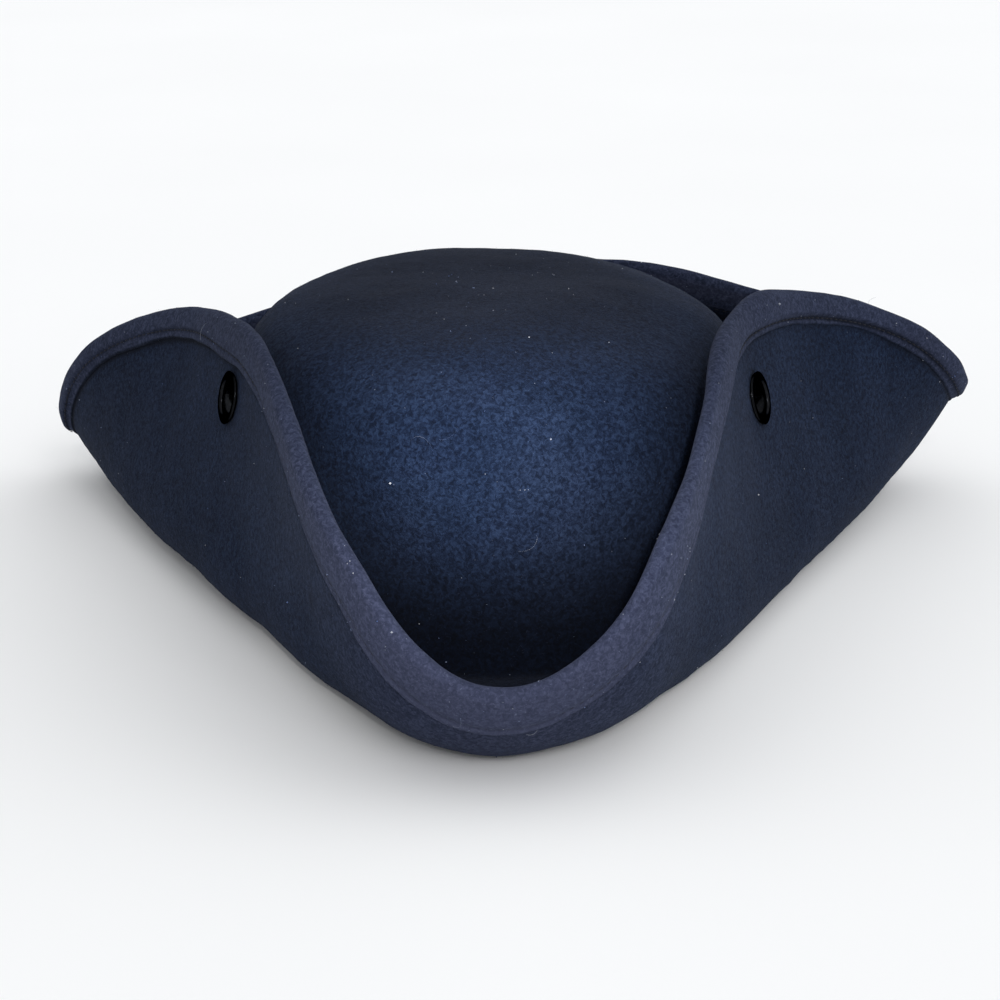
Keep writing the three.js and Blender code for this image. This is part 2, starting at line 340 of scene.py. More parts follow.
# The felt's colours, how far its grain shows, and its painted shade in the groove
FELT_STOPS = [(0.30, (0.0040, 0.0078, 0.0194)), (0.70, (0.0063, 0.0114, 0.0270))]
TINT_STOPS = [(0.30, (0.88, 0.97, 1.03)), (0.70, (1.12, 1.02, 0.96))]
# The hem's paler pile; the skin also mixes it in as painted light along the front, on the inner band and
# under the brim's front
HEM_COLOUR = (0.0400, 0.0457, 0.0817)
# Painted shade tint: darkens the felt at the crown's foot, top and sides, beside the crown and below the back
# seam
PAINTED_SHADE_TINT = (0.07, 0.11, 0.15)
GRAIN_STOPS = [(0.36, (0.42, 0.44, 0.47)), (0.50, (0.93, 0.94, 0.95)), (0.63, (1.75, 1.70, 1.60))]
GRAIN_LOST_ON_HEM = 0.75
FLECK_STOPS = [(0.58, (0.0, 0.0, 0.0)), (0.76, (1.0, 1.0, 1.0))]
FLECK_TINT = (3.2, 3.0, 2.6)
# Painted shade in the stitches' groove and painted shadow under the cut edge
GROOVE_SHADOW_COLOUR = (0.0016, 0.0024, 0.0050)
GROOVE_STRENGTH = 0.9
# Pale specks between the fibres, in some places only
SPECK_SCALE = 300
SPECK_STOPS = [(0.02, (1, 1, 1)), (0.075, (0, 0, 0))]
SPECKLED_SCALE = 90
SPECKLED_STOPS = [(0.57, (0, 0, 0)), (0.67, (1, 1, 1))]
SPECK_COLOUR = (0.10, 0.115, 0.16)


class Shade:
    """A material and its nodes."""

    def __init__(self, name):
        self.material = bpy.data.materials.new(name)
        self.material.use_nodes = True
        self.nodes, self.links = self.material.node_tree.nodes, self.material.node_tree.links
        self.place = self.nodes.new("ShaderNodeTexCoord").outputs["Object"]

    def put(self, socket, value):
        """A fixed value is set on the socket itself, and a node's output is linked to it."""
        if isinstance(value, (int, float)):
            socket.default_value = value
        elif isinstance(value, tuple):
            socket.default_value = (*value, 1.0)
        elif value is not None:
            self.links.new(value, socket)

    def node(self, kind, values):
        node = self.nodes.new(kind)
        for name, value in values.items():
            self.put(node.inputs[name], value)
        return node

    def surface(self, values):
        """The finished material, with these values of its shader."""
        for name, value in values.items():
            self.put(self.nodes["Principled BSDF"].inputs[name], value)
        return self.material

    def noise(self, scale, detail, roughness=0.6, distortion=0.0):
        values = {"Vector": self.place, "Scale": scale, "Detail": detail, "Roughness": roughness}
        return self.node("ShaderNodeTexNoise", {**values, "Distortion": distortion}).outputs["Fac"]

    def ramp(self, value, stops):
        node = self.node("ShaderNodeValToRGB", {"Fac": value})
        while len(node.color_ramp.elements) < len(stops):
            node.color_ramp.elements.new(0.5)
        for element, (place, colour) in zip(node.color_ramp.elements, stops):
            element.position = place
            element.color = (*colour, 1.0)
        return node.outputs["Color"]

    def mix(self, factor, a, b, blend="MIX"):
        node = self.nodes.new("ShaderNodeMix")
        node.data_type = "RGBA"
        node.blend_type = blend
        for socket, value in ((node.inputs[0], factor), (node.inputs[6], a), (node.inputs[7], b)):
            self.put(socket, value)
        return node.outputs[2]

    def times(self, a, b, share=1.0):
        """One colour tinted with another, wholly or by a share."""
        return self.mix(share, a, b, "MULTIPLY")

    def line(self, value, slope, start=0.0):
        """A value times a slope, plus a start."""
        node = self.nodes.new("ShaderNodeMath")
        node.operation = "MULTIPLY_ADD"
        for socket, given in zip(node.inputs, (value, slope, start)):
            self.put(socket, given)
        return node.outputs[0]

    def attribute(self, name):
        node = self.nodes.new("ShaderNodeAttribute")
        node.attribute_name = name
        return node.outputs["Fac"]

    def bump(self, height, strength, distance, normal=None):
        values = {"Strength": strength, "Distance": distance, "Height": height, "Normal": normal}
        return self.node("ShaderNodeBump", values).outputs["Normal"]


def felt_material():
    felt = Shade("wool_felt")
    matted = felt.noise(MATTED_SCALE, 5, 0.75, 0.8)
    fibres = felt.noise(NAP_SCALE, 3, 0.65, 0.8)
    patches = felt.noise(PATCH_SCALE, 4, 0.55)
    clouds = felt.noise(CLOUD_SCALE, 2, 0.5)
    hem, groove = felt.attribute("hem"), felt.attribute("groove")

    ground = felt.times(felt.ramp(patches, FELT_STOPS), felt.ramp(clouds, TINT_STOPS))
    # The hem's paler pile, mixed in more along the front as painted light, and used as painted light beside
    # the hem
    ground = felt.mix(hem, ground, HEM_COLOUR)
    # Painted shade: darker at the crown's foot, on its top and sides, beside the crown and below the back
    # seam
    ground = felt.mix(felt.attribute("painted_shade"), ground, felt.times(ground, PAINTED_SHADE_TINT))
    grain_share = felt.line(hem, -GRAIN_LOST_ON_HEM, 1.0)
    ground = felt.times(ground, felt.ramp(fibres, GRAIN_STOPS), grain_share)
    ground = felt.mix(felt.ramp(matted, FLECK_STOPS), ground, felt.times(ground, FLECK_TINT))
    # Painted shade in the stitches' groove and painted shadow under the cut edge
    ground = felt.mix(felt.line(groove, GROOVE_STRENGTH), ground, GROOVE_SHADOW_COLOUR)
    cells = {"Scale": SPECK_SCALE, "Randomness": 1.0, "Vector": felt.place}
    specks = felt.node("ShaderNodeTexVoronoi", cells)
    speckled = felt.ramp(felt.noise(SPECKLED_SCALE, 2), SPECKLED_STOPS)
    speck = felt.times(felt.ramp(specks.outputs["Distance"], SPECK_STOPS), speckled)
    ground = felt.mix(speck, ground, SPECK_COLOUR)

    return felt.surface({
        "Base Color": ground,
        "Roughness": felt.ramp(fibres, [(0.3, (1.0, 1.0, 1.0)), (0.7, (0.9, 0.9, 0.9))]),
        "Specular IOR Level": 0.06,
        "Sheen Weight": 0.05,
        "Sheen Roughness": 0.5,
        "Sheen Tint": (0.35, 0.42, 0.65),
        "Normal": felt.bump(matted, 0.6, 0.00025, felt.bump(fibres, 0.35, 0.0005)),
    })


def fibre_material():
    fibre = Shade("felt_fibre")
    tone = fibre.noise(350, 3)
    colour = fibre.ramp(tone, [(0.3, (0.006, 0.010, 0.022)), (0.7, (0.020, 0.024, 0.042))])
    return fibre.surface({"Base Color": colour, "Roughness": 0.9, "Specular IOR Level": 0.08})


def thread_material():
    thread = Shade("sewing_thread")
    ply = thread.noise(2600, 3, 0.6, 1.0)
    colour = thread.ramp(ply, [(0.3, (0.004, 0.005, 0.008)), (0.7, (0.014, 0.015, 0.022))])
    return thread.surface({"Base Color": colour, "Roughness": 0.7, "Specular IOR Level": 0.15,
                           "Normal": thread.bump(ply, 0.5, 0.0001)})


def lacquer_material():
    lacquer = Shade("black_lacquer")
    wear = lacquer.noise(900, 4, 0.7)
    smears = lacquer.noise(260, 3, 0.6)
    dark, worn = (0.0075, 0.0080, 0.0095), (0.0150, 0.0160, 0.0180)
    return lacquer.surface({
        "Base Color": lacquer.ramp(wear, [(0.35, dark), (0.75, worn)]),
        "Roughness": lacquer.ramp(smears, [(0.3, (0.07, 0.07, 0.07)), (0.7, (0.15, 0.15, 0.15))]),
        "Metallic": 1.0,
        "Specular Tint": (0.05, 0.05, 0.055),
        "Normal": lacquer.bump(wear, 0.15, 0.0001),
    })


def lint_material():
    lint = Shade("lint")
    blue, grey, white = (0.05, 0.10, 0.26), (0.16, 0.18, 0.23), (0.42, 0.44, 0.48)
    colour = lint.ramp(lint.noise(70, 2), [(0.35, blue), (0.50, grey), (0.70, white)])
    return lint.surface({"Base Color": colour, "Roughness": 0.85})


def floor_material():
    floor = Shade("pale_floor")
    colour = floor.ramp(floor.noise(3, 2), [(0.3, (0.90, 0.90, 0.90)), (0.7, (0.92, 0.92, 0.92))])
    return floor.surface({"Base Color": colour, "Roughness": 0.9, "Specular IOR Level": 0.1})


# Meshes from arrays

def mesh_object(name, points, faces, material, attributes=None, smooth=True):
    mesh = bpy.data.meshes.new(name)
    mesh.from_pydata(points.tolist(), [], faces)
    mesh.polygons.foreach_set("use_smooth", [smooth] * len(mesh.polygons))
    for key, values in (attributes or {}).items():
        layer = mesh.attributes.new(key, "FLOAT", "POINT")
        layer.data.foreach_set("value", np.asarray(values, dtype=np.float32))
    mesh.materials.append(material)
    mesh.update()
    piece = bpy.data.objects.new(name, mesh)
    bpy.context.scene.collection.objects.link(piece)
    return piece


def on_body(piece, slot, *replaced):
    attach(piece, "root")
    if replaced:
        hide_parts(*replaced)


# The felt's fine skin

FELT_AROUND = 560
CROWN_RINGS = 38
BREAK_RINGS = 5
BRIM_RINGS = 25
EDGE_ZONE = 0.013
EDGE_RINGS = 17
ROLL_RINGS = 8
HEM_RINGS = 30
CUT_RINGS = 4
UNDER_EDGE_RINGS = 3
UNDER_EDGE_START = 0.0003
UNDER_EDGE_STEP = 0.0008
UNDER_RINGS = 22
INNER_CROWN_RINGS = 18
# The rings' points stand closer at the three corners
CORNER_FINENESS = 0.20
ROLL_PUFF = 0.06
THINNING_FROM = 0.6
CUT_FALL = 1.6
# The cut edge wanders: height, wavelength, number of waves, seed
RAGGED_CUT = [(0.00025, 0.045, 14, 5), (0.00008, 0.009, 14, 6)]
# Painted light: the hem is painted palest along the front, where its band faces the light
HEM_SHARE = 0.8
SIDE_HEM_TONE = 0.47
HEM_TONE_MIDDLE = -3
HEM_TONE_FADE = 20
# Painted light on the inner band between the edge and the stitches, as a share of the hem's colour
INNER_LIGHT_TONE = 0.8
# A painted highlight makes its lower border paler still along the front, where the ridge by the cut edge
# catches the light
BORDER_HIGHLIGHT = 0.30
BORDER_WIDTH = 0.0009
# Painted light makes the felt under the front of the brim a little pale too, over this reach beyond the hem
FRONT_PAINTED_LIGHT = 0.60
FRONT_TONE_FADE = 21
FRONT_TONE_REACH = 0.022
# Painted shade: the felt is darkest at the crown's foot and on the brim beside it, and darker on its top
SHADE_BELOW = 0.010
SHADE_ABOVE = 0.062
SHADE_BRIM_SHARE = 0.55
TOP_SHADE = 0.66
TOP_FROM = 0.087
TOP_TO = 0.097
# Painted shade also darkens its sides below this height, from one azimuth on to another
SIDE_SHADE = 0.42
SIDE_BELOW = 0.070
SIDE_ABOVE = 0.092
SIDE_FROM = 22
SIDE_TO = 62
# Inside the back flap painted light brightens the band by the edge, the seam is painted as a pale line, and
# painted shade darkens the felt below it
SEAM_WIDTH = 0.0006
SEAM_TONE = 1.3
BACK_LIGHT_TONE = 1.3
SEAM_FADE = 62


def edge_shares(azimuth, rings):
    """Shares of the brim at even steps across the zone beside the edge."""
    return [1 - EDGE_ZONE * (1 - k / rings) / brim_width(azimuth) for k in range(rings + 1)]


def felt_skin():
    """Rings of the whole skin, and for each point how far it takes the hem's colour, with painted light, and
    how far painted shade falls on it in the groove and elsewhere in the hat.
    """
    even = np.linspace(0, 2 * math.pi, FELT_AROUND, endpoint=False)
    azimuth = even - CORNER_FINENESS * np.sin(3 * even)
    width = brim_width(azimuth)
    zero = np.zeros(FELT_AROUND)
    stitch = stitch_line(azimuth)
    drawn_in = groove_share(azimuth)
    # Painted light: the hem's colour is mixed in more strongly along the front band
    front = fading(azimuth, HEM_TONE_MIDDLE, HEM_TONE_FADE)
    tone = SIDE_HEM_TONE + (1 - SIDE_HEM_TONE) * front
    under_front_light = FRONT_PAINTED_LIGHT * fading(azimuth, 0, FRONT_TONE_FADE)
    back = fading(azimuth, 180, SEAM_FADE)
    off_front = np.degrees(np.abs(np.arctan2(np.sin(azimuth), np.cos(azimuth))))
    sideways = SIDE_SHADE * smoothstep((off_front - SIDE_FROM) / (SIDE_TO - SIDE_FROM))
    thinning = hem_thinning(azimuth)
    firm = fading(azimuth, FIRM_SEAM_AZIMUTH, FIRM_SEAM_FADE)
    # Painted shade in the stitches' groove and painted shadow under the cut edge, lighter along the front
    stitch_shade = (GROOVE_SHADE + FIRM_SEAM_SHADE * firm) * drawn_in
    cut_shade = (1 - (1 - FIRM_CUT_SHADE) * firm) * drawn_in
    rings, hems, grooves, painted_shades = [], [], [], []

    def add(points, hem=zero, groove=zero, painted_shade=zero):
        rings.append(points)
        hems.append(HEM_SHARE * hem * tone)
        grooves.append(groove + zero)
        painted_shades.append(painted_shade + zero)

    lowest = math.atan2(BREAK_RADIUS + FELT / 2, CROWN_HEIGHT + FELT / 2)
    lifts = np.linspace(math.pi / 2, lowest, CROWN_RINGS + 1)[1:-1]
    for lift in lifts:
        points = crown_face(azimuth, np.full(FELT_AROUND, lift), 0.0)
        high = points[:, 2]
        # Painted shade at the crown's foot, on its top and on its sides
        foot = 1 - smoothstep((high - SHADE_BELOW) / (SHADE_ABOVE - SHADE_BELOW))
        top = TOP_SHADE * smoothstep((high - TOP_FROM) / (TOP_TO - TOP_FROM))
        flank = sideways * (1 - smoothstep((high - SIDE_BELOW) / (SIDE_ABOVE - SIDE_BELOW)))
        add(points, painted_shade=np.minimum(foot + top + flank, 1))
    # The break between crown and brim is wholly in painted shade
    for k in range(BREAK_RINGS):
        add(break_face(azimuth, k / BREAK_RINGS, 0.0), painted_shade=zero + 1.0)

    def upper(share):
        point, _, normal = brim_frame(azimuth, share)
        from_edge = (1 - share) * width
        groove = bump_at(from_edge, stitch, GROOVE_WIDTH)
        ridge = bump_at(from_edge, stitch - 2 * GROOVE_WIDTH, 1.4 * GROOVE_WIDTH)
        ridge = ridge + bump_at(from_edge, stitch + 2 * GROOVE_WIDTH, 1.4 * GROOVE_WIDTH)
        height = FELT / 2 - INNER_GROOVE_DEPTH * groove + 0.5 * RIDGE_HEIGHT * ridge
        # Painted light on the inner band, brighter at the back, and a pale line along the back's seam
        pale = INNER_LIGHT_TONE * (1 + BACK_LIGHT_TONE * back) * smoothstep(1.3 * (1 - from_edge / stitch))
        pale = pale + SEAM_TONE * back * bump_at(from_edge, stitch - 2 * SEAM_WIDTH, SEAM_WIDTH)
        # Painted shade below the back flap's seam and on the brim near the crown
        below_seam = back * smoothstep((from_edge - stitch) / SEAM_WIDTH)
        painted_shade = np.maximum(1 - smoothstep(share / SHADE_BRIM_SHARE), below_seam)
        add(point + normal * height[:, None], pale, GROOVE_SHADE * groove, painted_shade)

    for k in range(BRIM_RINGS):
        upper((1 - EDGE_ZONE / width) * k / BRIM_RINGS)
    for share in edge_shares(azimuth, EDGE_RINGS):
        upper(share)

    point, outward, normal = brim_frame(azimuth, np.ones(FELT_AROUND))
    radius = (FELT + HEM_FELT) / 2
    for k in range(1, ROLL_RINGS):
        turn = math.pi * (0.5 - k / ROLL_RINGS)
        puff = 1 + ROLL_PUFF * math.cos(turn)
        across = -HEM_FELT / 2 + radius * math.sin(turn)
        # The hem's colour on the roll, from the inner band's painted light to the full hem
        hem = INNER_LIGHT_TONE + (1 - INNER_LIGHT_TONE) * k / ROLL_RINGS
        add(point + normal * across + outward * radius * puff * math.cos(turn), zero + hem)

    def outer(from_edge, height, hem, groove=zero):
        place, _, way = brim_frame(azimuth, 1 - from_edge / width)
        add(place - way * (FELT / 2 + height)[:, None], hem, groove)

    cut = hem_width(azimuth) - CUT_EDGE_RADIUS + unevenness(point, RAGGED_CUT)
    for k in range(HEM_RINGS + 1):
        from_edge = cut * k / HEM_RINGS
        groove = bump_at(from_edge, stitch, GROOVE_WIDTH)
        ridge = bump_at(from_edge, stitch - 2.1 * GROOVE_WIDTH, 1.3 * GROOVE_WIDTH)
        ridge = ridge + bump_at(from_edge, stitch + 2.0 * GROOVE_WIDTH, 1.2 * GROOVE_WIDTH)
        puff = HEM_PUFF * np.sin(math.pi * np.clip(from_edge / stitch, 0, 1))
        thin = thinning * smoothstep((from_edge / cut - THINNING_FROM) / (1 - THINNING_FROM))
        height = HEM_FELT + puff - thin + drawn_in * (RIDGE_HEIGHT * ridge - GROOVE_DEPTH * groove)
        # Painted highlight along the hem's lower border at the front
        border = BORDER_HIGHLIGHT * front * bump_at(from_edge, cut - BORDER_WIDTH, BORDER_WIDTH)
        outer(from_edge, height, 1.0 + border, stitch_shade * groove)
    cut_height = HEM_FELT - thinning
    for k in range(1, CUT_RINGS + 1):
        turn = k / CUT_RINGS * math.pi / 2
        from_edge = cut + CUT_EDGE_RADIUS * math.sin(turn)
        # Round the cut edge the hem's colour fades to the painted light under the front
        hem = 1 - (1 - under_front_light) * k / CUT_RINGS
        height = cut_height * (1 - (1 - math.cos(turn)) ** CUT_FALL)
        outer(from_edge, height + zero, hem, cut_shade * k / CUT_RINGS)
    below = cut + CUT_EDGE_RADIUS
    for k in range(UNDER_EDGE_RINGS):
        outer(below + UNDER_EDGE_START + UNDER_EDGE_STEP * k, zero, under_front_light, cut_shade * (1.0 - 0.5 * k))
    below = below + UNDER_EDGE_START + UNDER_EDGE_STEP * UNDER_EDGE_RINGS
    # Painted light under the front of the brim, fading out over its reach
    for k in range(UNDER_RINGS + 1):
        beyond = (width - below) * k / UNDER_RINGS
        outer(below + beyond, zero, under_front_light * (1 - smoothstep(beyond / FRONT_TONE_REACH - 0.5)))

    for k in range(BREAK_RINGS - 1, -1, -1):
        add(break_face(azimuth, k / BREAK_RINGS, FELT))
    for lift in np.linspace(lowest, math.pi / 2, INNER_CROWN_RINGS + 1)[1:-1]:
        add(crown_face(azimuth, np.full(FELT_AROUND, lift), FELT))
    return np.array(rings), {"hem": np.array(hems), "groove": np.array(grooves), "painted_shade": np.array(painted_shades)}


def grid_normals(rings):
    around = np.roll(rings, -1, axis=1) - np.roll(rings, 1, axis=1)
    down = np.gradient(rings, axis=0)
    return unit(np.cross(down, around))


def grid_faces(ring_count, around):
    index = np.arange(ring_count * around).reshape(ring_count, around)
    a, b = index[:-1], index[1:]
    quads = np.stack([a, b, np.roll(b, -1, axis=1), np.roll(a, -1, axis=1)], -1)
    return quads.reshape(-1, 4).tolist()


# The felt's surface wanders: height, wavelength, number of waves, seed
FELT_WAVES = [(0.00030, 0.070, 18, 1), (0.00009, 0.026, 24, 2), (0.00003, 0.010, 30, 3)]
# Small dents of the real felt: azimuth, lift, depth, radius
DENTS = [(-2.5, 33, 0.0009, 0.0050), (-0.5, 35, 0.0004, 0.0035), (24, 52, 0.0008, 0.0140),
         (-31, 47, 0.0009, 0.0170), (160, 40, 0.0010, 0.0160)]


def felt_unevenness(points):
    """How far the felt's surface stands out of the smooth shape."""
    out = unevenness(points, FELT_WAVES)
    for azimuth, lift, depth, radius in DENTS:
        centre = crown_face(np.array(math.radians(azimuth)), np.array(math.radians(lift)), 0.0)
        out -= depth * bump_at(np.linalg.norm(points - centre, axis=-1), 0, radius)
    return out


def cylinder(name, centre, axis, radius, half_length, sides):
    side = unit(np.cross(axis, (0.0, 0.0, 1.0)))
    high = np.cross(axis, side)
    turn = np.arange(sides) * 2 * math.pi / sides
    ring = radius * (np.cos(turn)[:, None] * side + np.sin(turn)[:, None] * high)
    points = np.concatenate([centre + ring - half_length * axis, centre + ring + half_length * axis])
    faces = [[k, (k + 1) % sides, sides + (k + 1) % sides, sides + k] for k in range(sides)]
    faces += [list(reversed(range(sides))), [sides + k for k in range(sides)]]
    mesh = bpy.data.meshes.new(name)
    mesh.from_pydata(points.tolist(), [], faces)
    piece = bpy.data.objects.new(name, mesh)
    bpy.context.scene.collection.objects.link(piece)
    return piece


def cut_eyelet_holes(piece):
    """The felt is punched through where each eyelet's barrel passes."""
    radius = EYELET_HOLE / 2 + EYELET_METAL + CLEARANCE
    for side in (1, -1):
        point, _, normal = eyelet_frame(side)
        plug = cylinder("plug", point + SHIFT, normal, radius, FELT * 1.5, 64)
        cut = piece.modifiers.new("eyelet_hole", "BOOLEAN")
        cut.operation = "DIFFERENCE"
        cut.solver = "EXACT"
        cut.object = plug
        bpy.context.view_layer.update()
        mesh = bpy.data.meshes.new_from_object(piece.evaluated_get(bpy.context.evaluated_depsgraph_get()))
        piece.modifiers.clear()
        piece.data = mesh
        bpy.data.objects.remove(plug)


# How far the felt and the fibres stay over the floor
FELT_OFF_FLOOR = 0.00005
FIBRE_OFF_FLOOR = 0.00003


def build_felt(material):
    """The whole felt body, and the grid of its points and normals for what grows on it."""
    rings, tones = felt_skin()
    normals = grid_normals(rings)
    rings = rings + normals * felt_unevenness(rings)[..., None]
    rings = rings + SHIFT
    rings[..., 2] = np.maximum(rings[..., 2], FELT_OFF_FLOOR)
    count = FELT_AROUND
    poles = np.array([rings[0].mean(axis=0), rings[-1].mean(axis=0)])
    points = np.concatenate([rings.reshape(-1, 3), poles])
    faces = grid_faces(len(rings), count)
    top, inner_top = len(points) - 2, len(points) - 1
    last = (len(rings) - 1) * count
    for k in range(count):
        faces.append([top, k, (k + 1) % count])
        faces.append([inner_top, last + (k + 1) % count, last + k])
    for name, values in tones.items():
        tones[name] = np.concatenate([values.reshape(-1), [values[0].mean(), values[-1].mean()]])
    piece = mesh_object("felt", points, faces, material, tones)
    cut_eyelet_holes(piece)
    on_body(piece, "felt", "felt_body")
    return rings, normals


# Stitches along the hem, seen in the groove on both faces

LINE_SAMPLES = 2400
# How far the thread's middle stands over the groove, in thread radii, and how far it sinks along the front
INNER_THREAD_SHOWS = 0.6
OUTER_THREAD_SHOWS = 0.5
FRONT_THREAD_SINKS = 3
STITCH_JITTER = 0.0002
# A stitch's thickness along it: place from -0.5 to 0.5, share of the thread's radius
STITCH_PROFILE = [(-0.5, 0.15), (-0.42, 0.75), (-0.2, 1.0), (0.2, 1.0), (0.42, 0.75), (0.5, 0.15)]
STITCH_ARCH = 1.2


def sewn_line(side):
    """Line of the stitches on the crown's side (1) or the outer side (-1) of the felt."""
    azimuth = np.linspace(0, 2 * math.pi, LINE_SAMPLES + 1)
    point, _, normal = brim_frame(azimuth, 1 - stitch_line(azimuth) / brim_width(azimuth))
    if side > 0:
        height = FELT / 2 - INNER_GROOVE_DEPTH + INNER_THREAD_SHOWS * THREAD_RADIUS + 0 * azimuth
    else:
        share = stitch_line(azimuth) / hem_width(azimuth)
        thin = hem_thinning(azimuth) * smoothstep((share - THINNING_FROM) / (1 - THINNING_FROM))
        shown = OUTER_THREAD_SHOWS - FRONT_THREAD_SINKS * (1 - groove_share(azimuth))
        groove = GROOVE_DEPTH * groove_share(azimuth)
        height = FELT / 2 + HEM_FELT - thin - groove + shown * THREAD_RADIUS
    line = point + side * normal * height[:, None]
    return line + side * normal * felt_unevenness(line)[:, None], side * normal


def capsules(starts, ends, ups, radius, sides=6):
    """Short rounded threads between pairs of points."""
    middle = (starts + ends) / 2
    way = ends - starts
    side = unit(np.cross(way, ups))
    high = unit(np.cross(side, way))
    points, faces = [], []
    turn = np.arange(sides) * 2 * math.pi / sides
    for along_share, thick in STITCH_PROFILE:
        ring = (middle + way * along_share)[:, None]
        arch = -radius * STITCH_ARCH * (2 * along_share) ** 2
        ring = ring + radius * thick * (side[:, None] * np.cos(turn)[None, :, None]
                                        + high[:, None] * np.sin(turn)[None, :, None]) + high[:, None] * arch
        points.append(ring)
    points = np.stack(points, 1)
    count, rows = points.shape[0], points.shape[1]
    for c in range(count):
        base = c * rows * sides
        for r in range(rows - 1):
            for s in range(sides):
                a = base + r * sides + s
                b = base + r * sides + (s + 1) % sides
                faces.append([a, b, b + sides, a + sides])
        faces.append([base + s for s in reversed(range(sides))])
        faces.append([base + (rows - 1) * sides + s for s in range(sides)])
    return points.reshape(-1, 3), faces


def build_stitches(name, side, material):
    line, normal = sewn_line(side)
    steps = np.linalg.norm(np.diff(line, axis=0), axis=1)
    length = np.concatenate([[0], np.cumsum(steps)])
    count = round(length[-1] / STITCH_PITCH)
    pitch = length[-1] / count
    draw = np.random.default_rng(11)
    begin = np.arange(count) * pitch + draw.uniform(-STITCH_JITTER, STITCH_JITTER, count)
    end = begin + STITCH_LENGTH + draw.uniform(-STITCH_JITTER, STITCH_JITTER, count)
    at = lambda s, values: np.stack([np.interp(s % length[-1], length, values[:, k]) for k in range(3)], -1)
    ups = unit(at((begin + end) / 2, normal))
    points, faces = capsules(at(begin, line) + SHIFT, at(end, line) + SHIFT, ups, THREAD_RADIUS)
    on_body(mesh_object(name, points, faces, material), "felt")


# Eyelets

EYELET_SIDES = 96


def arc(centre, radius, start, stop, steps):
    angles = np.radians(np.linspace(start, stop, steps))
    return [(centre[0] + radius * math.cos(a), centre[1] + radius * math.sin(a)) for a in angles]


def eyelet_profile():
    """Closed outline of an eyelet: radius, height over the felt's middle, from the hole outwards."""
    hole = EYELET_HOLE / 2
    barrel = hole + EYELET_METAL
    flange = EYELET_FLANGE / 2
    seat = FELT / 2 + CLEARANCE
    proud = FELT / 2 + EYELET_BEAD
    crest = barrel + (flange - barrel) * EYELET_CREST
    roll = (proud - seat) * 0.95
    front = arc((hole + roll, proud - roll), roll, 180, 95, 9)
    front += arc((crest, proud - 1.5 * roll), 1.5 * roll, 88, 62, 5)
    front += [(flange - 0.0009, seat + 0.00062), (flange - 0.0003, seat + 0.00050)]
    front += arc((flange - 0.00022, seat + 0.00024), 0.00024, 70, -80, 7)
    front += [(flange - 0.0006, seat), (barrel + 0.0004, seat), (barrel, seat - 0.0004)]
    back = arc((hole + roll, -(proud - roll)), roll, 180, 265, 9)
    back += arc((crest, -(proud - 1.7 * roll)), 1.7 * roll, 272, 300, 4)
    back += [(flange - 0.0014, -(seat + 0.00052)), (flange - 0.0010, -(seat + 0.0004)),
             (flange - 0.0010, -(seat + 0.00008)), (barrel + 0.0004, -seat), (barrel, -(seat - 0.0004))]
    return front + back[::-1]


def build_eyelet(name, side, node, material):
    point, outward, normal = eyelet_frame(side)
    round_way = np.cross(outward, normal)
    outline = np.array(eyelet_profile())
    turn = np.arange(EYELET_SIDES) * 2 * math.pi / EYELET_SIDES
    ring = outline[:, 0][:, None] * np.cos(turn), outline[:, 0][:, None] * np.sin(turn)
    points = (point + SHIFT + ring[0][..., None] * round_way + ring[1][..., None] * outward
              + (outline[:, 1][:, None] + 0 * turn)[..., None] * normal)
    rows = len(outline)
    index = np.arange(rows * EYELET_SIDES).reshape(rows, EYELET_SIDES)
    after, beside = np.roll(index, -1, axis=0), np.roll(index, -1, axis=1)
    faces = np.stack([index, after, np.roll(after, -1, axis=1), beside], -1).reshape(-1, 4).tolist()
    on_body(mesh_object(name, points.reshape(-1, 3), faces, material), "lacquered_metal", node)


# Nap: short fibres that stand out of the felt, as curved ribbons

FIBRES = 44000
FIBRE_WIDTH = 0.000045
# Lengths follow a gamma distribution of this shape and scale, kept within bounds
FIBRE_LENGTH_SHAPE = 3.0
FIBRE_LENGTH_SCALE = 0.00026
FIBRE_SHORTEST = 0.0004
FIBRE_LONGEST = 0.0024
FIBRE_ROOT_DEPTH = 0.00008


